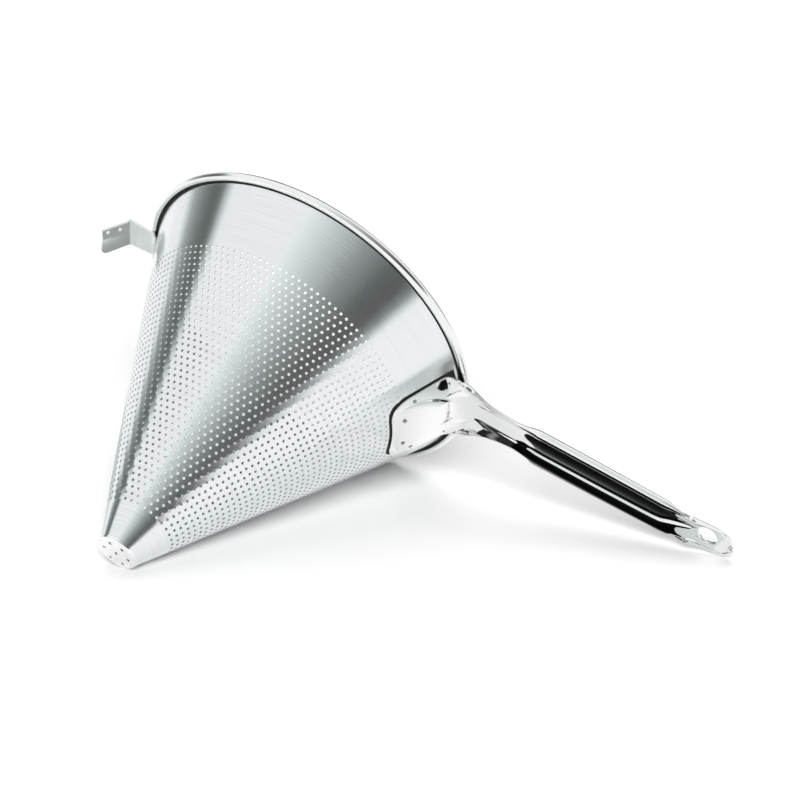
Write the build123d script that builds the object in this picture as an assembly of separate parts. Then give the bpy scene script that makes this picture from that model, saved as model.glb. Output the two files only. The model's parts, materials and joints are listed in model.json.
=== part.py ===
# Conical strainer (chinois) of stainless steel, lying on its side as it rests on a table.
#
# Each piece is drawn in the strainer's own frame, in millimetres: Z runs down the axis
# from the rim's middle plane to the tip, X points along the handle and Y across it.
# The last section lays the whole part down: it rests on the rim bead, the tip and the
# end of the handle, +Z up, floor at z = 0, +X from the tip towards the handle's end.

from build123d import *
from math import acos, asin, atan, atan2, cos, degrees, hypot, pi, radians, sin, sqrt, tan
import os

# Body
rim_radius = 100.0            # outside of the rolled rim bead
depth = 178.6                 # rim's middle plane to the flat tip
sheet = 0.8                   # wall of the body
bead_radius = 2.25            # outside of the curl that holds the wire
tip_radius = 10.6             # where the cone's line meets the flat tip
wire_gap = 0.1                # round the wire, inside the curl
curl_gap = 0.15               # between the curl's free edge and the wall

# Perforation, a plain grid of openings that stands for the real one's 3,400 fine round holes
perforation_start = 31.0      # heights of the perforated part of the wall
perforation_to_tip = 16.6     # from the last opening's lower edge to the tip
openings_round = 24           # in the widest row
open_share = 0.145            # of the perforated part, as with holes of 1.55 at 3.9 mm pitch

# Flat tip
cap_height = 1.6
cap_edge_round = 1.3
cap_lip = 0.35                # how far the cap stands proud of the cone
cap_skirt = 5.0               # how far the cap reaches up inside the cone
tip_hole = 1.9
tip_hole_circle = 7.2
tip_holes_round = 6

# Handle, one pressing: saddle on the cone, flared neck, channel grip and hanging eye
seat_gap = 0.1                # between the body and what is welded to it
handle_sheet = 1.5
handle_drop = 1.1             # degrees, from square to the axis towards the tip
root_inset = 6.0              # the handle's lengths start this far inside the rim's outside
root_height = -0.8            # height of the grip's mouth-side face at the root
saddle_height = 37.6
saddle_edge_angle = 15.9      # degrees, each side of the handle
saddle_corner = 9.0
panel_press = 0.6             # how far the saddle's middle panel stands proud
panel_top = 8.2               # heights of the panel's narrow and wide ends
panel_edge = 2.6              # from the panel's wide end to the saddle's lower edge
panel_top_angle = 3.4         # degrees, each side of the handle
panel_low_angle = 13.2
panel_corner = 4.0
bead_clearance = 0.25         # of the neck over the rim bead
wall_height = 6.8
trough_press = 1.1            # how far the grip's trough is pressed below neck and end
root_half_width = 24.0
step_end = 9.5                # where the neck is level again, beyond the bead
step_half_width = 20.0
waist_place = 33.0
waist_half_width = 11.6
grip_start = 52.0
grip_start_half_width = 12.0
grip_end = 124.0
grip_end_half_width = 9.4
ear_place = 140.0             # where the walls are full again, past the hems
ear_half_width = 10.4
end_place = 153.0             # where the walls have run out
end_wall_height = 3.6
neck_floor_share = 0.88       # of the half width, up to where the floor bends up
waist_floor_share = 0.75
grip_floor_share = 0.78
grip_end_floor_share = 0.8
end_floor_share = 0.7
neck_corner_share = 0.4       # of the wall's height, where it stands up straight
grip_corner_share = 0.5
hem_radius = 2.1
hem_height = 4.9
hem_lead = 7.0                # the hems start this far before the grip
trough_share = 0.6            # of the grip's half width
trough_lead = 14.0            # length of the trough's pointed ends, at its floor
trough_past = 13.4
trough_slope = 45.0           # degrees, lean of the trough's edges
eye_place = 150.0
eye_hole = 12.0
end_centre = 155.5
end_radius = 10.0
rib_spread = 11.5             # gusset ribs in the bend, each side of the middle
rib_reach = 9.5
rib_width = 5.0
rib_height = 4.0

# Pot hook, opposite the handle
hook_sheet = 1.2
hook_bend = 1.6
hook_flange_height = 8.0
hook_root_width = 18.0
hook_width = 20.8
hook_stand = 12.4             # the arm's bend, out from the rim
hook_lap = 11.0               # how far in the arm starts, before it is cut to the cone
hook_end_length = 16.4
hook_end_angle = 38.0         # degrees, between the end plate and the axis
hook_end_corner = 4.0
hook_hole = 2.5
hook_hole_side = 5.3
hook_hole_places = (5.5, 12.3)   # along the end plate, from the bend

# Spot welds
weld_radius = 1.1
weld_height = 0.35
saddle_weld_low = 5.5         # up from the saddle's lower edge
saddle_weld_mid = 12.5
saddle_weld_high = 8.0        # height on the cone
saddle_weld_low_angle = 6.9   # degrees, each side
saddle_weld_mid_angle = 13.6
saddle_weld_high_angle = 13.2
hook_weld_height = 8.5
hook_weld_angle = 3.4

# Worked out from the sizes above
bead_centre = rim_radius - bead_radius
curl_inside = bead_radius - sheet
cone_line = hypot(bead_centre - tip_radius, depth)
cone_angle = atan((bead_centre - tip_radius) / depth) - asin(curl_inside / cone_line)
mouth_radius = tip_radius + depth * tan(cone_angle)
cap_seat = depth - cap_height
perforation_end = depth - perforation_to_tip
seat_height = bead_radius + bead_clearance
saddle_end = seat_height + saddle_height
root_radius = rim_radius - root_inset
hook_reach = rim_radius + hook_stand
overrun = rim_radius


def cone_radius(height, out=0.0):
    """Radius of the cone's outside at a height, moved out square to the wall."""
    return mouth_radius - height * tan(cone_angle) + out / cos(cone_angle)


def cone_band(start, end, inside, outside):
    """Ring that follows the cone between two heights and two distances off its outside."""
    profile = Polyline(
        (cone_radius(start, inside), start),
        (cone_radius(start, outside), start),
        (cone_radius(end, outside), end),
        (cone_radius(end, inside), end),
        close=True,
    )
    return revolve(Plane.XZ * make_face(profile), axis=Axis.Z)


def perforation():
    """Openings in staggered rows, fewer round as the cone narrows."""
    pitch = 2 * pi * cone_radius(perforation_start) / openings_round
    row_pitch = pitch * sin(radians(60))
    side = sqrt(open_share * pitch * row_pitch)
    tall = side * cos(cone_angle)
    reach = perforation_end - perforation_start - tall
    rows = round(reach / (row_pitch * cos(cone_angle)))
    openings = []
    for row in range(rows + 1):
        height = perforation_start + row * reach / rows
        middle = cone_radius(height + tall / 2)
        profile = make_face(Polyline(
            (middle - side, height),
            (middle + side, height),
            (middle + side, height + tall),
            (middle - side, height + tall),
            close=True,
        ))
        opening = revolve(Plane.XZ * profile, axis=Axis.Z, revolution_arc=degrees(side / middle))
        count = round(2 * pi * middle / pitch)
        turns = [360 * (place + row % 2 / 2) / count for place in range(count)]
        openings += [Rot(0, 0, turn) * opening for turn in turns]
    return openings


def strainer_cone():
    """Wall and curled rim, one sheet."""
    wall = cone_band(-bead_radius * sin(cone_angle), cap_seat, -sheet, 0) - perforation()
    tangent = pi + cone_angle
    opening = acos((curl_inside - curl_gap) / bead_radius)
    reach = 2 * bead_radius
    mouth = make_face(Polyline(
        (0, 0),
        (reach * cos(tangent), reach * sin(tangent)),
        (reach * cos(tangent - opening), reach * sin(tangent - opening)),
        close=True,
    ))
    curl = Circle(bead_radius) - Circle(curl_inside) - mouth
    return wall + revolve(Plane.XZ * Pos(bead_centre, 0) * curl, axis=Axis.Z)


def rim_wire():
    """Wire ring inside the curl."""
    wire = Pos(bead_centre, 0) * Circle(curl_inside - wire_gap)
    return revolve(Plane.XZ * wire, axis=Axis.Z)


def tip_cap():
    """Flat pressed cap with a skirt inside the cone and a ring of holes."""
    skirt_top = cap_seat - cap_skirt
    under = depth - sheet
    skirt_out = -sheet - seat_gap
    skirt_in = skirt_out - sheet
    profile = Polyline(
        (0, depth),
        (cone_radius(depth, cap_lip), depth),
        (cone_radius(cap_seat, cap_lip), cap_seat),
        (cone_radius(cap_seat, skirt_out), cap_seat),
        (cone_radius(skirt_top, skirt_out), skirt_top),
        (cone_radius(skirt_top, skirt_in), skirt_top),
        (cone_radius(under, skirt_in), under),
        (0, under),
        close=True,
    )
    cap = revolve(Plane.XZ * make_face(profile), axis=Axis.Z)
    rim = cap.edges().filter_by(GeomType.CIRCLE).group_by(Axis.Z)[-1].sort_by(SortBy.RADIUS)[-1]
    cap = fillet(rim, cap_edge_round)
    hole = Cylinder(tip_hole / 2, 2 * cap_height)
    cap -= Pos(0, 0, depth) * hole
    for place in PolarLocations(tip_hole_circle, tip_holes_round):
        cap -= Pos(0, 0, depth) * place * hole
    return cap


def fan(start, start_angle, end, end_angle, out):
    """Flat outline of a plate on the cone, between two heights and two half angles."""
    near = cone_radius(start, out) * sin(radians(start_angle))
    far = cone_radius(end, out) * sin(radians(end_angle))
    return make_face(Polyline((-near, start), (near, start), (far, end), (-far, end), close=True))


def saddle():
    """Curved plate on the cone, with round lower corners and a pressed middle panel."""
    outer = seat_gap + handle_sheet
    outline = fan(seat_height, saddle_edge_angle, saddle_end, saddle_edge_angle, outer)
    outline = fillet(outline.vertices().group_by(Axis.Y)[-1], saddle_corner)
    plate = cone_band(seat_height, saddle_end, seat_gap, outer) & extrude(Plane.YZ * outline, overrun)
    panel_end = saddle_end - panel_edge
    panel = fan(panel_top, panel_top_angle, panel_end, panel_low_angle, outer)
    panel = fillet(panel.vertices().group_by(Axis.Y)[-1], panel_corner)
    raised = cone_band(panel_top, panel_end, handle_sheet / 2, outer + panel_press)
    return plate + (raised & extrude(Plane.YZ * panel, overrun))


def channel_section(place, half_width, base, top, floor_share, corner_share):
    """Cross-section of the pressed channel, open towards the tip."""
    floor = half_width * floor_share
    corner = base + (top - base) * corner_share
    lean = atan2(corner - base, half_width - floor)
    inner_floor = floor - handle_sheet * tan(lean / 2)
    inner_corner = corner + handle_sheet * tan((pi / 2 - lean) / 2)
    inner_width = half_width - handle_sheet
    half = [
        (inner_floor, base + handle_sheet),
        (inner_width, inner_corner),
        (inner_width, top),
        (half_width, top),
        (half_width, corner),
        (floor, base),
    ]
    mirrored = [(-x, y) for x, y in reversed(half)]
    plane = Plane((place, 0, 0), x_dir=(0, 1, 0), z_dir=(1, 0, 0))
    return plane * make_face(Polyline(*half, *mirrored, close=True))


def hem(side):
    """Rolled edge of the grip, a tapering pair of straight rolls with round ends."""
    run = grip_end - grip_start
    taper = (grip_start_half_width - grip_end_half_width) / run
    start = Vector(grip_start - hem_lead, side * (grip_start_half_width + hem_lead * taper), hem_height)
    end = Vector(grip_end, side * grip_end_half_width, hem_height)
    roll = Plane(start, z_dir=end - start) * extrude(Circle(hem_radius), (end - start).length)
    return roll + Pos(start) * Sphere(hem_radius) + Pos(end) * Sphere(hem_radius)


def trough(base, grow):
    """Shape of the pressed trough, pointed at both ends, from a height up."""
    wide = trough_share * grip_start_half_width
    narrow = trough_share * grip_end_half_width
    outline = make_face(Polyline(
        (grip_start - trough_lead, 0),
        (grip_start, -wide),
        (grip_end, -narrow),
        (grip_end + trough_past, 0),
        (grip_end, narrow),
        (grip_start, wide),
        close=True,
    ))
    if grow:
        outline = offset(outline, grow, kind=Kind.INTERSECTION)
    return Pos(0, 0, base) * extrude(outline, trough_press, taper=-trough_slope)


def gusset_rib(side):
    """Pressed rib that stiffens the bend between neck and saddle."""
    base = seat_height - root_height
    start = step_end - 2 * rib_reach
    profile = make_face(Polyline(
        (start, base),
        (step_end, base),
        (start, base + 2 * rib_height),
        close=True,
    ))
    return Pos(0, side * rib_spread, 0) * extrude(Plane.XZ * profile, rib_width / 2, both=True)


def cone_core(out):
    """Solid that fills the cone up to a distance off its outside."""
    profile = Polyline(
        (0, -bead_radius),
        (cone_radius(-bead_radius, out), -bead_radius),
        (cone_radius(depth, out), depth),
        (0, depth),
        close=True,
    )
    return revolve(Plane.XZ * make_face(profile), axis=Axis.Z)


def keep_out():
    """Space of the cone and the rim bead, which welded pieces are cut to."""
    bead = Pos(bead_centre, 0) * Circle(bead_radius + seat_gap)
    return cone_core(seat_gap) + revolve(Plane.XZ * bead, axis=Axis.Z)


def handle():
    """Saddle, neck, grip and eye as one pressing, cut to the cone and over the bead."""
    over_bead = seat_height - root_height
    bead_place = bead_centre - root_radius
    end = end_centre + end_radius
    neck = (neck_floor_share, neck_corner_share)
    waist = (waist_floor_share, grip_corner_share)
    grip = (grip_floor_share, grip_corner_share)
    grip_tail = (grip_end_floor_share, grip_corner_share)
    tail = (end_floor_share, neck_corner_share)
    channel = loft([
        channel_section(-step_end, root_half_width, over_bead, wall_height, *neck),
        channel_section(bead_place, root_half_width, over_bead, wall_height, *neck),
        channel_section(step_end, step_half_width, trough_press, wall_height, *neck),
        channel_section(waist_place, waist_half_width, trough_press, wall_height, *waist),
        channel_section(grip_start, grip_start_half_width, trough_press, hem_height, *grip),
        channel_section(grip_end, grip_end_half_width, trough_press, hem_height, *grip_tail),
        channel_section(ear_place, ear_half_width, trough_press, wall_height, *waist),
        channel_section(end_place, end_radius, trough_press, end_wall_height, *tail),
        channel_section(end, end_radius, trough_press, end_wall_height, *tail),
    ], ruled=True)
    channel += trough(0, handle_sheet * tan(radians(trough_slope) / 2))
    channel -= trough(handle_sheet, 0)
    for side in (-1, 1):
        channel += hem(side)
        channel += gusset_rib(side)
    round_end = Rectangle(end_radius, 2 * end_radius, align=(Align.MIN, Align.CENTER)) - Circle(end_radius)
    channel -= Pos(end_centre, 0, 0) * extrude(round_end, 2 * wall_height)
    channel -= Pos(eye_place, 0, 0) * Cylinder(eye_hole / 2, 2 * wall_height)
    tilted = Pos(root_radius, 0, root_height) * Rot(0, -handle_drop, 0) * channel
    return saddle() + tilted - keep_out()


def pot_hook():
    """Bent strap that catches a pot's rim, on a short flange down the cone."""
    bend = Vector(hook_reach, seat_height + hook_sheet / 2)
    lean = radians(hook_end_angle)
    end = bend + hook_end_length * Vector(sin(lean), cos(lean))
    path = FilletPolyline((mouth_radius - hook_lap, bend.Y), bend, end, radius=hook_bend)
    strap = extrude(Plane.XZ * trace(path, hook_sheet), hook_width, both=True)
    plan = make_face(Polyline(
        (0, -hook_root_width / 2),
        (rim_radius, -hook_root_width / 2),
        (hook_reach, -hook_width / 2),
        (end.X, -hook_width / 2),
        (end.X, hook_width / 2),
        (hook_reach, hook_width / 2),
        (rim_radius, hook_root_width / 2),
        (0, hook_root_width / 2),
        close=True,
    ))
    plan = fillet(plan.vertices().group_by(Axis.X)[-1], hook_end_corner)
    strap &= extrude(plan, overrun)
    for place in hook_hole_places:
        spot = bend + place * Vector(sin(lean), cos(lean))
        strap -= Plane((spot.X, -hook_hole_side, spot.Y), z_dir=(cos(lean), 0, -sin(lean))) * Cylinder(
            hook_hole / 2, 4 * hook_sheet
        )
    flange = cone_band(seat_height, seat_height + hook_flange_height, seat_gap, seat_gap + hook_sheet)
    flange &= Box(overrun, hook_root_width, overrun, align=(Align.MIN, Align.CENTER, Align.MIN))
    return Rot(0, 0, 180) * (strap + flange - keep_out())


def spot_weld(height, angle, out):
    """Small raised weld on a plate that lies on the cone."""
    face = Plane(
        (cone_radius(height, out), 0, height),
        z_dir=(cos(cone_angle), 0, sin(cone_angle)),
    )
    weld = face * extrude(Circle(weld_radius), weld_height)
    return Rot(0, 0, angle) * weld


def handle_spot_welds():
    """Three pairs of welds on the saddle, the lowest on its pressed panel."""
    out = seat_gap + handle_sheet
    rows = [
        (saddle_end - saddle_weld_low, saddle_weld_low_angle, out + panel_press),
        (saddle_end - saddle_weld_mid, saddle_weld_mid_angle, out),
        (saddle_weld_high, saddle_weld_high_angle, out),
    ]
    welds = [spot_weld(height, side * angle, lift) for height, angle, lift in rows for side in (-1, 1)]
    return Compound(welds)


def hook_spot_welds():
    """One pair of welds on the hook's flange."""
    out = seat_gap + hook_sheet
    return Compound([spot_weld(hook_weld_height, 180 + side * hook_weld_angle, out) for side in (-1, 1)])


def resting_place():
    """Where the whole part lies when the rim bead, the tip and the handle's end touch the floor."""
    edge_height = depth - cap_edge_round
    edge_radius = cone_radius(edge_height, cap_lip - cap_edge_round)
    rise = atan2(bead_centre - edge_radius, edge_height)
    rise += asin((bead_radius - cap_edge_round) / hypot(bead_centre - edge_radius, edge_height))
    drop = bead_centre * cos(rise) + bead_radius
    along = Vector(cos(radians(handle_drop)), 0, sin(radians(handle_drop)))
    out = Vector(-along.Z, 0, along.X)
    end = Vector(root_radius, 0, root_height) + along * end_centre + out * end_wall_height

    def down(turn):
        return Vector(cos(rise) * cos(turn), cos(rise) * sin(turn), sin(rise))

    def end_contact(turn):
        """Point of the handle's round end that is lowest for a turn about the axis."""
        pull = down(turn) - out * out.dot(down(turn))
        return end + pull.normalized() * end_radius

    low, high = -pi / 2, -pi / 4
    for _ in range(40):
        turn = (low + high) / 2
        if end_contact(turn).dot(down(turn)) > drop:
            high = turn
        else:
            low = turn
    up = -down(turn)
    tip_contact = Vector(cos(turn), sin(turn), 0) * edge_radius + Vector(0, 0, edge_height)
    tip_contact += down(turn) * cap_edge_round
    across = (end_contact(turn) - tip_contact).normalized()
    back = up.cross(across)
    return Plane(
        (0, 0, drop),
        x_dir=(across.X, back.X, up.X),
        z_dir=(across.Z, back.Z, up.Z),
    ).location


def build():
    pieces = {
        "strainer_cone": strainer_cone(),
        "rim_wire": rim_wire(),
        "tip_cap": tip_cap(),
        "handle": handle(),
        "pot_hook": pot_hook(),
        "handle_spot_welds": handle_spot_welds(),
        "hook_spot_welds": hook_spot_welds(),
    }
    place = resting_place()
    laid = {name: place * piece for name, piece in pieces.items()}
    box = Compound(list(laid.values())).bounding_box()
    middle = box.center()
    os.makedirs("parts", exist_ok=True)
    for name, piece in laid.items():
        centred = Pos(-middle.X, -middle.Y, -box.min.Z) * piece
        export_step(centred, f"parts/{name}.step")
        print(name, len(centred.solids()), "solids", round(centred.volume), "mm3")
    print("box", box.size, "lowest point before centring", box.min.Z)


build()
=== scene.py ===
import bmesh
import bpy
import json
from math import acos, atan, cos, pi, radians, sin, tan
from mathutils import Matrix, Vector


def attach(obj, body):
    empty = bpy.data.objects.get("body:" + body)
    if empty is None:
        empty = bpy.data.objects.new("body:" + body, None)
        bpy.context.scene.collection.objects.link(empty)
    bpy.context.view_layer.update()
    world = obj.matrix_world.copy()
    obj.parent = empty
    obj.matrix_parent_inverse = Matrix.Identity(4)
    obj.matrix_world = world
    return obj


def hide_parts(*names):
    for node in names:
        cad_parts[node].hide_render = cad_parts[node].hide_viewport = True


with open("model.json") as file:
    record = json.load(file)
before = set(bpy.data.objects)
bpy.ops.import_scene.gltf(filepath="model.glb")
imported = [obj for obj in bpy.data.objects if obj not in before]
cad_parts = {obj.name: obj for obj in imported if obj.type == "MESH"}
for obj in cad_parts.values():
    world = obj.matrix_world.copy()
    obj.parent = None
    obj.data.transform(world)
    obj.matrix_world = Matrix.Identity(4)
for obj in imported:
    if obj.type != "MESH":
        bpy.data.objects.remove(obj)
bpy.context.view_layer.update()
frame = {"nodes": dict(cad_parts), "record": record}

# Body: one stainless sheet, spun to a cone and perforated between a plain band below the rim
# and a plain nose above the tip, then brushed round and round on the lathe.
mouth_radius = 96.14
tip_radius = 10.6
depth = 178.6
body_sheet = 0.8
slope = atan((mouth_radius - tip_radius) / depth)
wall_top = -1.0
wall_end = 177.0
first_row = 31.0
last_row = 162.0
hole_radius = 0.78
hole_pitch = 3.9
row_pitch = 3.37               # along the wall, for rows that sit in each other's gaps
row_gap = row_pitch * cos(slope)
plain_segments = 180
nose_segments = 60

# Every piece is drawn upright in millimetres, with Z down the axis from the rim to the tip and X
# along the handle. One matrix lays it down in the frame, where the strainer lies on its side.
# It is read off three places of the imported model: tip face, hook arm and hanging eye.
millimetre = 0.001
hook_point_out = 105.0
hook_point_down = 3.7
mounts = {mount["name"]: mount for mount in frame["record"]["mounts"]}
axis_down = Vector(mounts["tip_face"]["axis"])
hook_point = Vector(mounts["hook_arm_underside"]["pos_m"])
along_handle = Vector(mounts["hanging_eye"]["pos_m"]) - hook_point
along_handle = (along_handle - axis_down * along_handle.dot(axis_down)).normalized()
across = axis_down.cross(along_handle)
rim_middle = hook_point + (along_handle * hook_point_out - axis_down * hook_point_down) * millimetre
turned = Matrix((along_handle, across, axis_down)).transposed().to_4x4()
laid_down = Matrix.Translation(rim_middle) @ turned @ Matrix.Scale(millimetre, 4)


def wall_radius(height):
    """Radius of the cone's outside at a height."""
    return mouth_radius - height * tan(slope)


def add_ring(bm, height, count, turn):
    """Ring of corners round the cone's outside."""
    place = Matrix.Translation((0, 0, height)) @ Matrix.Rotation(turn, 4, "Z")
    made = bmesh.ops.create_circle(bm, segments=count, radius=wall_radius(height), matrix=place)
    return list(dict.fromkeys(edge for corner in made["verts"] for edge in corner.link_edges))


def edge_ring(bm, height):
    """Boundary edges of the perforated band at one of its ends."""
    return [
        edge for edge in bm.edges
        if edge.is_boundary and all(abs(corner.co.z - height) < row_gap / 10 for corner in edge.verts)
    ]


def add_plain_wall(bm, edges, ring_heights, count):
    """Wall without holes, from a ring of edges through new rings at the given heights."""
    for height in ring_heights:
        ring = add_ring(bm, height, count, 0)
        bmesh.ops.bridge_loops(bm, edges=edges + ring)
        edges = ring


def punch_holes(bm, corners, radius, cuts):
    """Makes a round hole at each corner, with its sides divided by a number of cuts."""
    punched = bmesh.ops.bevel(
        bm, geom=corners, offset=radius, offset_type="OFFSET", segments=1, profile=0.5,
        affect="VERTICES", material=-1,
    )["faces"]
    middles = [(face, face.calc_center_median()) for face in punched]
    sides = list(dict.fromkeys(edge for face in punched for edge in face.edges))
    bmesh.ops.subdivide_edges(bm, edges=sides, cuts=cuts)
    for face, middle in middles:
        for corner in face.verts:
            corner.co = middle + (corner.co - middle).normalized() * radius
    bmesh.ops.delete(bm, geom=punched, context="FACES_ONLY")


def smooth_outside(bm):
    """Smooth shading on all faces, and all of them turned to one side."""
    for face in bm.faces:
        face.smooth = True
    bmesh.ops.recalc_face_normals(bm, faces=bm.faces)


def map_down_and_round(bm):
    """UV map with U down the wall and V round the axis, so the steel knows which way it was turned."""
    layer = bm.loops.layers.uv.new("down_and_round")
    for face in bm.faces:
        middle = face.calc_center_median().to_2d()
        start = middle.angle_signed(Vector((1, 0)), 0)
        for loop in face.loops:
            turn = middle.angle_signed(loop.vert.co.to_2d(), 0)
            loop[layer].uv = (loop.vert.co.z / depth, (turn - start) / (2 * pi))


def finish_piece(bm, name, material):
    """Lays a drawn piece down in the frame and makes it an object that rides with the strainer."""
    bm.transform(laid_down)
    mesh = bpy.data.meshes.new(name)
    bm.to_mesh(mesh)
    bm.free()
    piece = bpy.data.objects.new(name, mesh)
    bpy.context.scene.collection.objects.link(piece)
    mesh.materials.append(material)
    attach(piece, "root")
    return piece


def give_thickness(piece, thickness):
    """Gives a sheet its thickness, inward from the side that is drawn."""
    wall = piece.modifiers.new("sheet", "SOLIDIFY")
    wall.thickness = thickness * millimetre
    wall.offset = -1


def strainer_space(tree):
    """Texture coordinates in metres, turned back so that Z runs down the strainer's axis."""
    place = tree.nodes.new("ShaderNodeTexCoord")
    back = tree.nodes.new("ShaderNodeMapping")
    back.vector_type = "TEXTURE"
    back.inputs["Location"].default_value = rim_middle
    back.inputs["Rotation"].default_value = turned.to_euler()
    tree.links.new(place.outputs["Object"], back.inputs["Vector"])
    return back.outputs["Vector"]


def grain_group():
    """Fine streaks, from noise that is stretched by its own amount along each axis."""
    group = bpy.data.node_groups.new("streaked_grain", "ShaderNodeTree")
    face = group.interface
    face.new_socket("Vector", in_out="INPUT", socket_type="NodeSocketVector")
    face.new_socket("Closeness", in_out="INPUT", socket_type="NodeSocketVector")
    face.new_socket("Streaks", in_out="OUTPUT", socket_type="NodeSocketFloat")
    start = group.nodes.new("NodeGroupInput")
    end = group.nodes.new("NodeGroupOutput")
    scaled = group.nodes.new("ShaderNodeVectorMath")
    scaled.operation = "MULTIPLY"
    streaks = group.nodes.new("ShaderNodeTexNoise")
    streaks.inputs["Scale"].default_value = 1
    streaks.inputs["Detail"].default_value = 3
    streaks.inputs["Roughness"].default_value = 0.65
    group.links.new(start.outputs["Vector"], scaled.inputs[0])
    group.links.new(start.outputs["Closeness"], scaled.inputs[1])
    group.links.new(scaled.outputs["Vector"], streaks.inputs["Vector"])
    group.links.new(streaks.outputs["Fac"], end.inputs["Streaks"])
    return group


streaked_grain = grain_group()
round_the_axis = (40, 40, 0.35)   # size of a turned streak in millimetres, along each axis
tone_spread = 0.15
roughness_spread = 0.2


def steel(name, colour, roughness, grain_depth, streak_size, turning=0.0):
    """Stainless steel with a grain. The depth of the grain and its streaks' size are in millimetres."""
    material = bpy.data.materials.new(name)
    material.use_nodes = True
    tree = material.node_tree
    link = tree.links.new
    shader = tree.nodes["Principled BSDF"]
    shader.inputs["Metallic"].default_value = 1
    shader.inputs["Anisotropic"].default_value = turning
    grain = tree.nodes.new("ShaderNodeGroup")
    grain.node_tree = streaked_grain
    grain.inputs["Closeness"].default_value = [1 / (size * millimetre) for size in streak_size]
    link(strainer_space(tree), grain.inputs["Vector"])
    darkest = [(1 - tone_spread) * part for part in colour]
    lightest = [min((1 + tone_spread) * part, 1) for part in colour]
    tone = tree.nodes.new("ShaderNodeMix")
    tone.data_type = "RGBA"
    tone.inputs["A"].default_value = (*darkest, 1)
    tone.inputs["B"].default_value = (*lightest, 1)
    link(grain.outputs["Streaks"], tone.inputs["Factor"])
    link(tone.outputs["Result"], shader.inputs["Base Color"])
    rough = tree.nodes.new("ShaderNodeMapRange")
    rough.inputs["To Min"].default_value = roughness * (1 - roughness_spread)
    rough.inputs["To Max"].default_value = roughness * (1 + roughness_spread)
    link(grain.outputs["Streaks"], rough.inputs["Value"])
    link(rough.outputs["Result"], shader.inputs["Roughness"])
    bump = tree.nodes.new("ShaderNodeBump")
    bump.inputs["Distance"].default_value = grain_depth * millimetre
    link(grain.outputs["Streaks"], bump.inputs["Height"])
    link(bump.outputs["Normal"], shader.inputs["Normal"])
    if turning:
        tangent = tree.nodes.new("ShaderNodeTangent")
        tangent.direction_type = "UV_MAP"
        tangent.uv_map = "down_and_round"
        link(tangent.outputs["Tangent"], shader.inputs["Tangent"])
    return material


bm = bmesh.new()
row_count = int((last_row - first_row) / row_gap) + 1
heights = [first_row + row * row_gap for row in range(row_count)]
above = add_ring(bm, heights[0], round(2 * pi * wall_radius(heights[0]) / hole_pitch), 0)
for row, height in enumerate(heights[1:], 1):
    holes_round = round(2 * pi * wall_radius(height) / hole_pitch)
    below = add_ring(bm, height, holes_round, row % 2 * pi / holes_round)
    bmesh.ops.bridge_loops(bm, edges=above + below)
    above = below
punch_holes(bm, [corner for corner in bm.verts if not corner.is_boundary], hole_radius, cuts=1)
band_heights = (first_row - 3, 20.0, 10.0, 4.0, wall_top)
nose_heights = (heights[-1] + 2, 170.0, wall_end)
add_plain_wall(bm, edge_ring(bm, heights[0]), band_heights, plain_segments)
add_plain_wall(bm, edge_ring(bm, heights[-1]), nose_heights, nose_segments)
for edge in bm.edges:
    edge.smooth = not edge.is_boundary
smooth_outside(bm)
map_down_and_round(bm)
body_steel = steel(
    "body_steel", colour=(0.79, 0.815, 0.825), roughness=0.17, grain_depth=0.016,
    streak_size=round_the_axis, turning=0.8,
)
cone = finish_piece(bm, "perforated_cone", body_steel)
give_thickness(cone, body_sheet)
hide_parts("strainer_cone")

# Rim: the body's own edge, rolled all round over a steel wire and polished. It is open only by a
# hair's breadth under the roll, where the edge of the sheet comes back to the wall.
rim_radius = 100.0
bead_radius = 2.25
bead_centre = rim_radius - bead_radius
hair_gap = 0.15
roll_start = pi + slope
roll_sweep = 2 * pi - acos((bead_radius - body_sheet - hair_gap) / bead_radius)
roll_steps = 28
rim_segments = 240


def spin_round_axis(bm, segments):
    """Spins a drawn line once round the strainer's axis."""
    bmesh.ops.spin(
        bm, geom=list(bm.edges), cent=(0, 0, 0), axis=(0, 0, 1), angle=2 * pi, steps=segments,
        use_merge=True,
    )


def beside_bead(radius, turn):
    """Place round the bead's centre line."""
    return Vector((bead_centre + radius * cos(turn), 0, radius * sin(turn)))


bm = bmesh.new()
start = bm.verts.new(beside_bead(bead_radius, roll_start))
bmesh.ops.spin(
    bm, geom=[start], cent=(bead_centre, 0, 0), axis=(0, -1, 0), angle=roll_sweep, steps=roll_steps,
)
spin_round_axis(bm, rim_segments)
bmesh.ops.remove_doubles(bm, verts=bm.verts, dist=0.001)
smooth_outside(bm)
rim_steel = steel(
    "rim_steel", colour=(0.86, 0.87, 0.86), roughness=0.1, grain_depth=0.002,
    streak_size=round_the_axis,
)
rim = finish_piece(bm, "rolled_rim", rim_steel)

# Seam under the roll: the sheet's edge is tucked against the wall there. The dark sheet laid in the
# crevice is painted shade, standing in for the shadow that falls in it.
crevice_radius = bead_radius + 0.04
crevice_lift = 0.06
crevice = [beside_bead(crevice_radius, radians(turn)) for turn in (112, 124, 135)]
crevice += [Vector((wall_radius(height) + crevice_lift, 0, height)) for height in (1.8, 2.05)]


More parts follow.
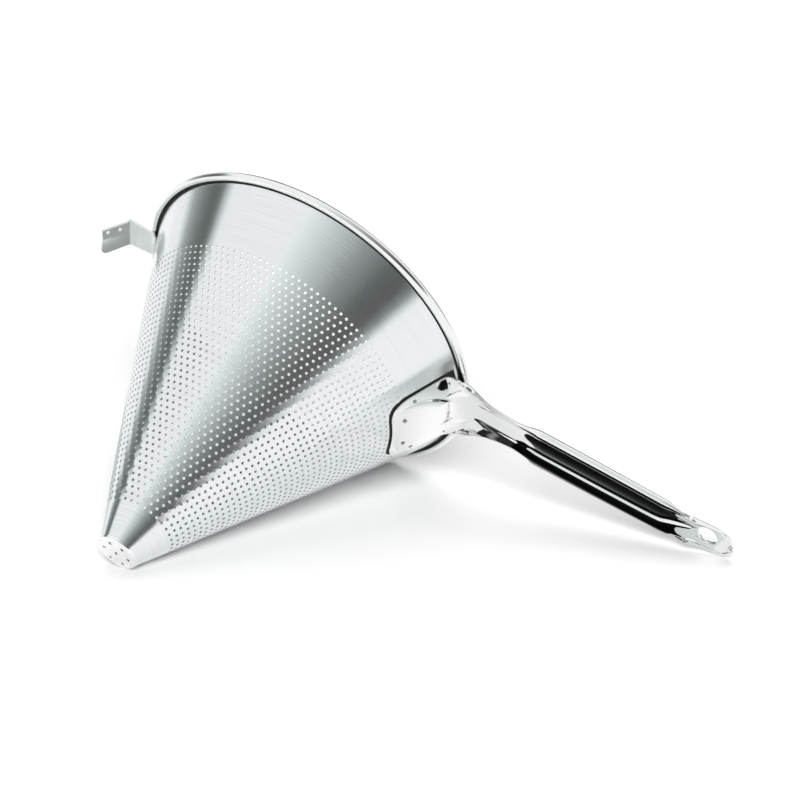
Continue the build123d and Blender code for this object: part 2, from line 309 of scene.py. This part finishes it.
def painted_crevice_shade():
    """Painted shade for a crevice: a dark, dull material with a little unevenness."""
    material = bpy.data.materials.new("crevice_painted_shade")
    material.use_nodes = True
    tree = material.node_tree
    shader = tree.nodes["Principled BSDF"]
    shader.inputs["Specular IOR Level"].default_value = 0.1
    shader.inputs["Roughness"].default_value = 0.7
    patches = tree.nodes.new("ShaderNodeTexNoise")
    patches.inputs["Scale"].default_value = 250
    tone = tree.nodes.new("ShaderNodeMix")
    tone.data_type = "RGBA"
    tone.inputs["A"].default_value = (0.006, 0.007, 0.007, 1)
    tone.inputs["B"].default_value = (0.03, 0.03, 0.028, 1)
    tree.links.new(strainer_space(tree), patches.inputs["Vector"])
    tree.links.new(patches.outputs["Fac"], tone.inputs["Factor"])
    tree.links.new(tone.outputs["Result"], shader.inputs["Base Color"])
    return material


bm = bmesh.new()
corners = [bm.verts.new(place) for place in crevice]
for start, end in zip(corners, corners[1:]):
    bm.edges.new((start, end))
spin_round_axis(bm, plain_segments)
smooth_outside(bm)
# Painted shade: one dark material stands in for the shadow in the crevices under the roll and round the
# saddle.
crevice_shade_paint = painted_crevice_shade()
finish_piece(bm, "rim_seam_painted_shade", crevice_shade_paint)

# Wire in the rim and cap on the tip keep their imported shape: plain drawn wire, and a pressed
# steel disc with seven drain holes that is set in the cone's end and polished with it.
wire_steel = steel(
    "wire_steel", colour=(0.70, 0.70, 0.69), roughness=0.25, grain_depth=0.002,
    streak_size=round_the_axis,
)
tip_steel = steel(
    "tip_steel", colour=(0.88, 0.89, 0.88), roughness=0.16, grain_depth=0.002,
    streak_size=(6, 6, 6),
)


def finish_node(name, material):
    """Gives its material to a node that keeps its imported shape."""
    node = frame["nodes"][name]
    node.data.materials.clear()
    node.data.materials.append(material)


finish_node("rim_wire", wire_steel)
finish_node("tip_cap", tip_steel)

# Handle: one polished pressing of 1.5 mm stainless sheet. The saddle is welded on the cone, the
# neck crosses the rim's roll, the grip is a channel with a pressed trough and rolled edges, and
# the flat end has the hanging eye.
handle_sheet = 1.5
handle_tilt = radians(0.6)
root_out = 94.0
root_down = -0.8
weld_gap = 0.1
plate_lift = weld_gap + handle_sheet
panel_press = 0.6
panel_bevel = 1.3
bend_radius = 96.5
level_floor = 2.6
grip_floor = 3.0
wall_top_rise = 6.8
wall_foot_share = 0.4          # of the wall's height, from which it stands up straight
floor_bend = 0.4               # inside of the place where the floor bends up
grip_floor_share = 0.76        # of the half width, up to where the floor bends up
end_floor_share = 0.7
flat_shares = (0.3, 0.6)       # of a floor without a trough, for the corners that a trough would have
neck_trough = (5.9, 6.7, 0)    # inner side, outer side and depth
grip_trough = (6.4, 7.2, 0)
trough_shoulder = 4.8
middle_press_share = 0.85      # of the trough's depth, beside its middle
hem_radius = 2.33
hem_rise = 4.6
hem_start_turn = 108           # degrees
hem_turn_step = 35.5
hem_bulge = Vector((-0.3, 0.35))
crease_sharpness = 0.8
crease_from = 40.0             # along the handle, between which the trough's edges are crisp
crease_to = 143.0
eye_place = 150.0
eye_radius = 6.16
eye_ends = {45: 0, 135: 180}   # rows that follow the eye's edge to the handle's middle, in degrees
end_centre = 155.5
end_inside = 8.5
end_top = 3.6
steps_up_wall = 8
half_row_corners = 4 + steps_up_wall


def on_cone(height, side, lift):
    """Place on the cone: height, arc from the handle's middle, and lift off the wall."""
    radius = wall_radius(height)
    out = radius + lift * cos(slope)
    return Vector((out * cos(side / radius), out * sin(side / radius), height + lift * sin(slope)))


def on_handle(along, side, rise):
    """Place on the handle: along it, to its side, and up from its mouth side."""
    out = root_out + along * cos(handle_tilt) - rise * sin(handle_tilt)
    return Vector((out, side, root_down + along * sin(handle_tilt) + rise * cos(handle_tilt)))


def saddle_row(height, half_width, panel, press):
    """Half a row of the saddle from its middle to its edge, with the pressed panel in it."""
    foot = panel + panel_bevel
    row = [(0, press), (panel * 0.5, press), (panel, press), (foot, 0)]
    row += [(foot + (half_width - foot) * step / steps_up_wall, 0) for step in range(1, steps_up_wall + 1)]
    return [(on_cone, height, side, plate_lift + lift) for side, lift in row]


def channel_row(along, half_width, floor, top, floor_share, trough=None, rolled=0, round_root=0):
    """Half a row of neck, grip or end: floor, trough, wall, and the wall's edge as far as it is rolled."""
    floor_half = half_width * floor_share
    inner, outer, press = trough or (floor_half * flat_shares[0], floor_half * flat_shares[1], 0)
    wall = half_width - handle_sheet
    foot = floor + wall_foot_share * (top - floor)
    floor_edge = floor_half - floor_bend
    shoulder = floor + (trough_shoulder - floor) * rolled
    row = [(0, floor - press), (inner, floor - press * middle_press_share), (outer, shoulder)]
    hem = []
    for step in range(steps_up_wall):
        turn = radians(hem_start_turn - hem_turn_step * step)
        hem.append(Vector((half_width + hem_radius * cos(turn), hem_rise + hem_radius * sin(turn))))
    slope_up = (hem[0] + Vector((outer, shoulder))) / 2 + hem_bulge
    row.append(Vector((floor_edge, floor)).lerp(slope_up, rolled))
    for step in range(steps_up_wall):
        straight = Vector((wall, foot + (top - foot) * step / (steps_up_wall - 1)))
        row.append(straight.lerp(hem[step], rolled))
    return [
        (on_handle, along - round_root * side * side / (2 * bend_radius), side, rise)
        for side, rise in row
    ]


def grip_row(along, half_width, trough=grip_trough, rolled=1, floor=grip_floor):
    """Half a row of the grip, where the walls have their full height."""
    return channel_row(along, half_width, floor, wall_top_rise, grip_floor_share, trough, rolled)


def eye_row(angle, along, half_width, top):
    """Half a row beside the hanging eye, whose third corner lies on the eye's edge at an angle."""
    row = channel_row(along, half_width, level_floor, top, end_floor_share)
    turns = {2: angle}
    if angle in eye_ends:
        turns = {0: eye_ends[angle], 1: (eye_ends[angle] + angle) / 2, 2: angle}
    for corner, turn in turns.items():
        spot = (eye_place - eye_radius * cos(radians(turn)), eye_radius * sin(radians(turn)))
        row[corner] = (on_handle, *spot, level_floor)
    return row


def end_row(turn, floor=level_floor):
    """Half a row of the round end."""
    half_width = end_inside * cos(radians(turn)) + handle_sheet
    along = end_centre + end_inside * sin(radians(turn))
    return channel_row(along, half_width, floor, end_top, end_floor_share)


def whole_row(half_row):
    """Places of a whole row, with the half row on both sides of its middle."""
    row = []
    for column in range(1 - half_row_corners, half_row_corners):
        on_surface, along, side, rise = half_row[abs(column)]
        row.append(on_surface(along, side if column >= 0 else -side, rise))
    return row


def add_sheet(bm, rows):
    """Grid of sheet whose corners lie in the given rows of places. Gives its corners."""
    columns = len(rows[0])
    made = bmesh.ops.create_grid(bm, x_segments=len(rows) - 1, y_segments=columns - 1, size=1)
    corners = {}
    for corner in made["verts"]:
        row = round((corner.co.x + 1) / 2 * (len(rows) - 1))
        column = round((corner.co.y + 1) / 2 * (columns - 1))
        corner.co = rows[row][column]
        corners[row, column] = corner
    return corners


def turn_up(bm):
    """Turns the faces of an open sheet up, if they point down to the mouth's side."""
    if sum(face.normal.z for face in bm.faces) < 0:
        bmesh.ops.reverse_faces(bm, faces=bm.faces)


half_rows = [
    saddle_row(40.1, 12.8, 8.0, 0),
    saddle_row(39.1, 17.2, 12.0, 0),
    saddle_row(36.6, 20.3, 18.2, panel_press),
    saddle_row(31.1, 23.0, 17.9, panel_press),
    saddle_row(26.0, 23.7, 17.0, panel_press),
    saddle_row(20.0, 24.5, 15.2, panel_press),
    saddle_row(14.0, 25.3, 11.9, panel_press),
    saddle_row(9.6, 25.9, 7.4, panel_press),
    saddle_row(7.0, 25.9, 6.0, 0),
    channel_row(5.0, 23.6, 4.8, wall_top_rise, 0.88, round_root=1),
    channel_row(7.5, 21.0, 3.9, wall_top_rise, 0.88, round_root=0.5),
    channel_row(10.0, 18.9, 2.8, wall_top_rise, 0.86, neck_trough, 0.2),
    channel_row(15.0, 16.1, level_floor, wall_top_rise, 0.84, neck_trough, 0.5),
    channel_row(22.0, 13.3, level_floor, wall_top_rise, 0.80, neck_trough, 0.55),
    channel_row(28.0, 11.9, level_floor, wall_top_rise, 0.78, neck_trough, 0.6),
    channel_row(33.0, 11.3, level_floor, wall_top_rise, 0.77, neck_trough, 0.6),
    grip_row(38.2, 11.3, neck_trough, 0.6, level_floor),
    grip_row(42.0, 11.5, neck_trough, 0.7, 2.7),
    grip_row(46.0, 11.8, (6.1, 6.9, 0), 0.85, 2.8),
    grip_row(49.0, 12.0, (6.3, 7.1, 0), 1, 2.9),
    grip_row(51.5, 12.1),
    grip_row(56.0, 12.0),
    grip_row(72.0, 11.8),
    grip_row(95.0, 11.4, (6.3, 7.1, 0)),
    grip_row(115.0, 10.9, (6.0, 6.8, 0)),
    grip_row(121.5, 10.7, (5.7, 6.5, 0)),
    grip_row(124.5, 10.7, (5.3, 6.1, 0.2), 1, 2.9),
    grip_row(127.5, 10.8, (4.1, 5.2, 0.6), 0.9, level_floor),
    grip_row(131.5, 10.9, (2.9, 4.2, 1.0), 0.7, level_floor),
    grip_row(136.0, 10.9, (1.6, 2.8, 1.2), 0.45, level_floor),
    channel_row(140.0, 10.8, level_floor, wall_top_rise, 0.75, (0.7, 1.5, 1.0), 0.2),
    channel_row(142.4, 10.6, level_floor, 6.3, 0.73, (0.3, 0.6, 0.5)),
    eye_row(45, 144.4, 10.4, 5.8),
    eye_row(67.5, 147.0, 10.2, 4.9),
    eye_row(90, 150.0, 10.1, 4.1),
    eye_row(112.5, 153.0, 10.0, 3.7),
    eye_row(135, 155.5, 10.0, 3.6),
    end_row(12),
    end_row(32),
    end_row(54),
    end_row(72),
    end_row(84, 2.9),
    end_row(86, 3.5),
]
bm = bmesh.new()
corners = add_sheet(bm, [whole_row(half_row) for half_row in half_rows])
middle = half_row_corners - 1
# Rows whose third corner lies on the eye's edge.
eye_rows = [row for row, shape in enumerate(half_rows) if abs(shape[2][1] - eye_place) < eye_radius * 0.8]
eye_corners = {corners[row, middle + side] for row in eye_rows for side in range(-2, 3)}
in_eye = [face for face in bm.faces if all(corner in eye_corners for corner in face.verts)]
bmesh.ops.delete(bm, geom=in_eye, context="FACES")
sharp = bm.edges.layers.float.new("crease_edge")
trough_rows = [
    row for row, shape in enumerate(half_rows)
    if shape[0][0] is on_handle and crease_from < shape[0][1] < crease_to
]
for row in trough_rows[:-1]:
    for side in (-2, -1, 1, 2):
        edge = bm.edges.get((corners[row, middle + side], corners[row + 1, middle + side]))
        edge[sharp] = crease_sharpness
smooth_outside(bm)
turn_up(bm)
handle_steel = steel(
    "handle_steel", colour=(0.88, 0.89, 0.88), roughness=0.06, grain_depth=0.0015,
    streak_size=(30, 0.5, 0.5),
)
handle = finish_piece(bm, "pressed_handle", handle_steel)
rounding = handle.modifiers.new("pressed_round", "SUBSURF")
rounding.levels = 2
rounding.render_levels = 2
give_thickness(handle, handle_sheet)
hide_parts("handle")

# Seam round the saddle: the hair-wide gap between plate and cone, with painted shade like the rim's
# standing in for its shadow. The dark layer lies just off the wall and shows a little past the plate's
# edge.
seam_lift = 0.12
seam_outline = (
    (41.2, 12.5), (40.3, 17.6), (37.4, 21.6), (31.1, 24.2), (20.0, 25.6), (9.6, 27.0), (3.4, 27.4),
)
seam_rows = []
for height, half_width in seam_outline:
    sides = [half_width * step / (half_row_corners - 1) for step in range(half_row_corners)]
    seam_rows.append(whole_row([(on_cone, height, side, seam_lift) for side in sides]))
bm = bmesh.new()
add_sheet(bm, seam_rows)
finish_piece(bm, "saddle_seam_painted_shade", crevice_shade_paint)

# Gusset darts: two hollow points of the handle's own steel, pressed into the bend between saddle
# and neck to stiffen it, one on each side.
dart_side = 11.5
dart_half_width = 4.2
dart_round = 0.35
for name, side in (("upper_gusset", dart_side), ("lower_gusset", -dart_side)):
    bm = bmesh.new()
    for place in (
        on_cone(12.0, side, plate_lift - 0.3),
        on_handle(9.5, side, 2.6),
        on_handle(3.2, side + dart_half_width, 4.6),
        on_handle(3.2, side - dart_half_width, 4.6),
        on_handle(1.0, side, 3.0),
    ):
        bm.verts.new(place)
    bmesh.ops.convex_hull(bm, input=bm.verts)
    bmesh.ops.bevel(
        bm, geom=list(bm.edges), offset=dart_round, offset_type="OFFSET", segments=3, profile=0.5,
        affect="EDGES", material=-1,
    )
    smooth_outside(bm)
    gusset = finish_piece(bm, name, handle_steel)

# Spot welds: dull marks that the electrodes leave where saddle and hook are welded to the cone.
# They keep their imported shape, and their steel is darker and coarser than the sheet round them.
weld_steel = steel(
    "weld_steel", colour=(0.42, 0.42, 0.41), roughness=0.35, grain_depth=0.01,
    streak_size=(0.4, 0.4, 0.4),
)
finish_node("handle_spot_welds", weld_steel)
finish_node("hook_spot_welds", weld_steel)

# Pot hook: a bent strap of 1.2 mm stainless sheet. Its flange is welded to the cone opposite the
# handle, its arm passes under the rim, and its end plate has a crease and two small holes.
hook_sheet = 1.2
hook_half_width = 10.4
flange_half_width = 9.0
arm_height = hook_point_down
hook_corner_out = 112.1
plate_lean = radians(38)
plate_length = 15.5
plate_corner = 4.0
corner_start = plate_length - plate_corner
corner_side = plate_corner - hook_half_width
hook_hole_radius = 1.25
hook_hole_side = 4.3
hook_hole_places = (5.5, 12.3)
crease_side = -0.6
swell_start = 1.0
swell_length = 12.0
swell_height = 2.5
swell_lean = 0.3               # share of the rise that goes back square to the plate
fold_side = 7.0
fold_share = 0.9               # of the fold's width that reaches out where the plate starts
fold_loss = 0.8                # of that share, up to the plate's end
fold_rise = 0.6                # for each millimetre that the fold still reaches out
plate_taper = 1.1
hook_sides = (
    -hook_half_width, -9.6, -8.6, -7.2, -5.6, -4.0, -2.4, -1.2, crease_side, 0.6, 2.3, hook_hole_side,
    fold_side, 8.6, hook_half_width,
)
plate_places = (0.5, 2.2, 5.5, 9.0, 12.3, 14.0, 14.8, plate_length)


def on_hook(out, side, height):
    """Place on the hook: out from the axis on the side away from the handle."""
    return Vector((-out, side, height))


def on_end_plate(along, side):
    """Place on the end plate, with its lengthwise crease, slanting fold and round corner."""
    corner = Vector((along - corner_start, corner_side - side))
    if corner.x > 0 and corner.y > 0 and corner.length > plate_corner:
        corner *= plate_corner / corner.length
        along = corner_start + corner.x
        side = corner_side - corner.y
    lift = 0
    if side < crease_side:
        swell = min(max((along - swell_start) / swell_length, 0), 1)
        from_edge = 1 - (crease_side - side) / (crease_side + hook_half_width)
        lift = swell * swell_height * (1 - from_edge ** 2)
    if side >= fold_side:
        slant = (side - fold_side) * (fold_share - fold_loss * along / plate_length)
        lift = slant * fold_rise
        side = fold_side + slant - plate_taper * along / plate_length
    return on_hook(
        hook_corner_out + along * sin(plate_lean) - lift * cos(plate_lean) * swell_lean,
        side,
        arm_height + along * cos(plate_lean) + lift,
    )


hook_rows = []
for height in (10.5, 8.0, 6.4, 5.2):
    flange = [
        on_cone(height, side * flange_half_width / hook_half_width, weld_gap + hook_sheet)
        for side in hook_sides
    ]
    hook_rows.append([on_hook(place.x, place.y, place.z) for place in flange])
for out, widening in ((97.2, 0.87), (98.6, 0.89), (104.0, 0.94), (110.4, 0.99), (111.4, 1), (111.9, 1)):
    hook_rows.append([on_hook(out, side * widening, arm_height) for side in hook_sides])
for along in plate_places:
    hook_rows.append([on_end_plate(along, side) for side in hook_sides])
bm = bmesh.new()
corners = add_sheet(bm, hook_rows)
first_plate_row = len(hook_rows) - len(plate_places)
hole_corners = [
    corners[first_plate_row + plate_places.index(place), hook_sides.index(hook_hole_side)]
    for place in hook_hole_places
]
punch_holes(bm, hole_corners, hook_hole_radius, cuts=2)
smooth_outside(bm)
turn_up(bm)
hook_steel = steel(
    "hook_steel", colour=(0.88, 0.9, 0.89), roughness=0.38, grain_depth=0.002,
    streak_size=(0.6, 20, 0.6),
)
hook = finish_piece(bm, "bent_hook", hook_steel)
give_thickness(hook, hook_sheet)
rounding = hook.modifiers.new("soft_edges", "BEVEL")
rounding.width = 0.2 * millimetre
rounding.segments = 2
rounding.limit_method = "ANGLE"
rounding.angle_limit = radians(50)
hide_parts("pot_hook")

# Floor and surround: a white studio. White paper on the floor keeps the strainer's shadow, and
# the surround is as white where it is seen as where the steel mirrors it.
paper_half_width = 6           # metres
paper_glow = 0.02
plain_light = 0.1


def seen_directly(tree):
    """1 for what the camera sees straight, in the steel or through glass, 0 for plain lighting."""
    path = tree.nodes.new("ShaderNodeLightPath")
    steel_too = tree.nodes.new("ShaderNodeMath")
    steel_too.operation = "MAXIMUM"
    glass_too = tree.nodes.new("ShaderNodeMath")
    glass_too.operation = "MAXIMUM"
    tree.links.new(path.outputs["Is Camera Ray"], steel_too.inputs[0])
    tree.links.new(path.outputs["Is Glossy Ray"], steel_too.inputs[1])
    tree.links.new(steel_too.outputs["Value"], glass_too.inputs[0])
    tree.links.new(path.outputs["Is Transmission Ray"], glass_too.inputs[1])
    return glass_too.outputs["Value"]


paper = bpy.data.materials.new("white_paper")
paper.use_nodes = True
tree = paper.node_tree
paper_shader = tree.nodes["Principled BSDF"]
paper_shader.inputs["Base Color"].default_value = (0.8, 0.8, 0.8, 1)
paper_shader.inputs["Roughness"].default_value = 1
paper_shader.inputs["Specular IOR Level"].default_value = 0
paper_shader.inputs["Emission Color"].default_value = (1, 1, 1, 1)
glow_seen = tree.nodes.new("ShaderNodeMath")
glow_seen.operation = "MULTIPLY"
glow_seen.inputs[1].default_value = paper_glow
tree.links.new(seen_directly(tree), glow_seen.inputs[0])
tree.links.new(glow_seen.outputs["Value"], paper_shader.inputs["Emission Strength"])
floor_mesh = bpy.data.meshes.new("floor")
bm = bmesh.new()
bmesh.ops.create_grid(bm, x_segments=1, y_segments=1, size=paper_half_width)
bm.to_mesh(floor_mesh)
bm.free()
floor_mesh.materials.append(paper)
floor = bpy.data.objects.new("floor", floor_mesh)
bpy.context.scene.collection.objects.link(floor)

world = bpy.data.worlds.new("surround")
world.use_nodes = True
bpy.context.scene.world = world
tree = world.node_tree
surround = tree.nodes["Background"]
surround.inputs["Color"].default_value = (1, 1, 1, 1)
level = tree.nodes.new("ShaderNodeMapRange")
level.inputs["To Min"].default_value = plain_light
level.inputs["To Max"].default_value = 1
tree.links.new(seen_directly(tree), level.inputs["Value"])
tree.links.new(level.outputs["Result"], surround.inputs["Strength"])


# Lamps: two wide soft ones, above the camera and overhead. They give the strainer its shadow on
# the floor, and the steel doesn't mirror them.
def soft_lamp(name, angle, energy, towards):
    """Wide lamp that lights the floor and isn't seen in the steel."""
    data = bpy.data.lights.new(name, "SUN")
    data.angle = radians(angle)
    data.energy = energy
    lamp = bpy.data.objects.new(name, data)
    lamp.rotation_euler = Vector(towards).to_track_quat("-Z", "Y").to_euler()
    lamp.visible_glossy = False
    bpy.context.scene.collection.objects.link(lamp)


soft_lamp("lamp_by_camera", angle=30, energy=4.1, towards=(0.12, 1.45, -1))
soft_lamp("lamp_overhead", angle=60, energy=1.5, towards=(0.0, -0.3, -1))

# Cards: dark and grey cards out of view, as a photographer sets them round polished steel. Only
# the steel sees them. Two of them have a white back, so that the other pieces see no dark there.
card_distance = 2.5
strainer_middle_height = 0.07
card_above_floor = 0.3
neck_plane = -5
white_back = 0.95
tint = (0.94, 1, 0.98)

card_paint = bpy.data.materials.new("card_paint")
card_paint.use_nodes = True
tree = card_paint.node_tree
tree.nodes.remove(tree.nodes["Principled BSDF"])
shade = tree.nodes.new("ShaderNodeVertexColor")
shade.layer_name = "shade"
glow = tree.nodes.new("ShaderNodeEmission")
tree.links.new(shade.outputs["Color"], glow.inputs["Color"])
tree.links.new(glow.outputs["Emission"], tree.nodes["Material Output"].inputs["Surface"])

white_backed_paint = card_paint.copy()
white_backed_paint.name = "white_backed_paint"
tree = white_backed_paint.node_tree
sides = tree.nodes.new("ShaderNodeNewGeometry")
by_side = tree.nodes.new("ShaderNodeMix")
by_side.data_type = "RGBA"
by_side.inputs["B"].default_value = (white_back, white_back, white_back, 1)
tree.links.new(sides.outputs["Backfacing"], by_side.inputs["Factor"])
tree.links.new(tree.nodes[shade.name].outputs["Color"], by_side.inputs["A"])
tree.links.new(by_side.outputs["Result"], tree.nodes[glow.name].inputs["Color"])


def studio_card(name, strips, place, paint=card_paint):
    """Card that only the steel sees. Each strip is a shade and the corners along it."""
    bm = bmesh.new()
    layer = bm.loops.layers.float_color.new("shade")
    corners = add_sheet(bm, [[place(*spot) for spot in spots] for strip_shade, spots in strips])
    shades = {corner: strips[row][0] for (row, column), corner in corners.items()}
    bmesh.ops.reverse_faces(bm, faces=bm.faces)
    for face in bm.faces:
        for loop in face.loops:
            loop[layer] = (*(shades[loop.vert] * part for part in tint), 1)
    mesh = bpy.data.meshes.new(name)
    bm.to_mesh(mesh)
    bm.free()
    mesh.materials.append(paint)
    card = bpy.data.objects.new(name, mesh)
    bpy.context.scene.collection.objects.link(card)
    card.visible_camera = False
    card.visible_diffuse = False
    card.visible_shadow = False


def round_about(turn, rise):
    """Place round the strainer, by degrees from straight behind and above its middle."""
    flat = cos(radians(rise)) * card_distance
    height = sin(radians(rise)) * card_distance + strainer_middle_height
    return Vector((sin(radians(turn)) * flat, cos(radians(turn)) * flat, height))


def on_floor(right, back):
    """Place on the floor in millimetres."""
    return Vector((right, back, card_above_floor)) * millimetre


def beside_grip(along, turn, away):
    """Place beside the grip, by degrees from its open side round to its lower roll."""
    side = -away * sin(radians(turn))
    rise = grip_floor + away * cos(radians(turn))
    return laid_down @ on_handle(along, side, rise)


def before_neck(back, rise):
    """Place in an upright plane on the floor in front of the neck, in millimetres."""
    return Vector((neck_plane, back, rise)) * millimetre


studio_card("card_right_of_camera", [
    (0.85, [(104, 14), (118, 11), (132, 5), (146, -2), (158, -2), (172, -2)]),
    (0.24, [(105, 20), (121, 16), (135, 10), (149, 2), (161, -1.5), (173, -1.5)]),
    (0.10, [(107, 27), (124, 23), (139, 17), (153, 8), (165, -1), (177, -1)]),
    (0.14, [(109, 38), (128, 34), (148, 27), (161, 18), (173, 8), (183, 0)]),
    (0.34, [(114, 55), (140, 51), (160, 42), (174, 31), (187, 18), (196, 5)]),
    (0.70, [(130, 72), (170, 62), (188, 51), (196, 40), (204, 26), (210, 10)]),
    (1.00, [(200, 80), (210, 70), (215, 60), (218, 45), (221, 30), (224, 14)]),
], round_about)
studio_card("card_behind_left", [
    (1.00, [(-32, 37), (-47, 41), (-61, 39), (-74, 34), (-84, 24), (-90, 15)]),
    (0.18, [(-30, 32), (-43, 35), (-56, 34), (-68, 29), (-77, 20), (-84, 12)]),
    (0.14, [(-28, 27), (-40, 30), (-53, 29), (-64, 25), (-73, 18), (-80, 10)]),
    (0.24, [(-25, 19), (-35, 22), (-46, 22), (-57, 19), (-66, 14), (-73, 6)]),
    (0.45, [(-21, 11), (-31, 14), (-41, 15), (-50, 13), (-59, 9), (-67, 3)]),
    (1.00, [(-18, 5), (-28, 8), (-38, 9), (-47, 8), (-56, 5), (-63, 1)]),
], round_about)
studio_card("card_behind", [
    (0.03, [(-9, -3), (14, -3), (38, -3), (62, -3)]),
    (0.03, [(-9, 13), (14, 13), (38, 13), (60, 12)]),
    (0.03, [(-9, 15), (6, 15), (22, 16), (38, 17)]),
    (0.03, [(-8, 30), (6, 30), (20, 30), (34, 30)]),
    (0.06, [(-4, 46), (6, 46), (20, 46), (34, 46)]),
], round_about)
studio_card("floor_card_behind", [
    (0.03, [(-60, 2400), (1500, 2400)]),
    (0.04, [(-60, 600), (400, 600)]),
    (0.30, [(-80, 330), (230, 330)]),
    (0.80, [(-90, 260), (200, 260)]),
], on_floor)
studio_card("card_beside_grip", [
    (0.010, [(36, -42, 13.5), (138, -42, 19)]),
    (0.005, [(34, 12, 13.5), (138, 12, 19)]),
    (0.002, [(34, 30, 13.5), (138, 30, 19)]),
    (0.002, [(34, 47, 13.5), (138, 47, 19)]),
    (0.010, [(37, 57, 13.7), (138, 57, 19)]),
    (0.050, [(42, 62, 14.2), (138, 62, 19)]),
    (0.300, [(45, 66, 14.6), (138, 66, 19)]),
    (0.450, [(47, 72, 15.4), (138, 72, 19.5)]),
    (0.500, [(46, 80, 15.8), (138, 80, 20)]),
    (0.500, [(42, 98, 16.4), (138, 98, 20)]),
    (0.500, [(40, 108, 16.8), (138, 108, 20)]),
    (0.450, [(40, 122, 17.2), (138, 122, 20)]),
], beside_grip, white_backed_paint)
studio_card("card_before_neck", [
    (0.02, [(-22, 1), (-22, 33)]),
    (0.02, [(-34, 1), (-34, 33)]),
    (0.30, [(-42, 1), (-42, 33)]),
    (0.03, [(-50, 1), (-50, 33)]),
    (0.02, [(-80, 1), (-80, 33)]),
], before_neck, white_backed_paint)
studio_card("floor_card_right", [
    (0.95, [(62, -20), (62, -100)]),
    (0.66, [(84, -20), (84, -100)]),
    (0.60, [(115, -20), (115, -100)]),
    (0.80, [(150, -20), (150, -100)]),
], on_floor)
studio_card("floor_card_left", [
    (0.75, [(-330, 30), (-330, 170)]),
    (0.70, [(-180, 30), (-180, 170)]),
    (0.34, [(-140, 20), (-140, 170)]),
    (0.34, [(-60, 40), (-60, 170)]),
], on_floor)

# Camera: a long lens, low in front of the strainer, as in a product picture. It looks down at the
# strainer's side and is turned and rolled by a few degrees.
camera_data = bpy.data.cameras.new("camera")
camera_data.lens = 135
camera_data.sensor_width = 36
camera_place = Vector((-0.11855, -1.47860, 0.62053))
camera_turn = radians(-4.469)
camera_tilt = radians(69.096)
camera_roll = radians(0.806)
camera = bpy.data.objects.new("camera", camera_data)
camera.matrix_world = (
    Matrix.Translation(camera_place)
    @ Matrix.Rotation(camera_turn, 4, "Z")
    @ Matrix.Rotation(camera_tilt, 4, "X")
    @ Matrix.Rotation(camera_roll, 4, "Z")
)
bpy.context.scene.collection.objects.link(camera)
bpy.context.scene.camera = camera
bpy.context.scene.view_settings.view_transform = "Standard"
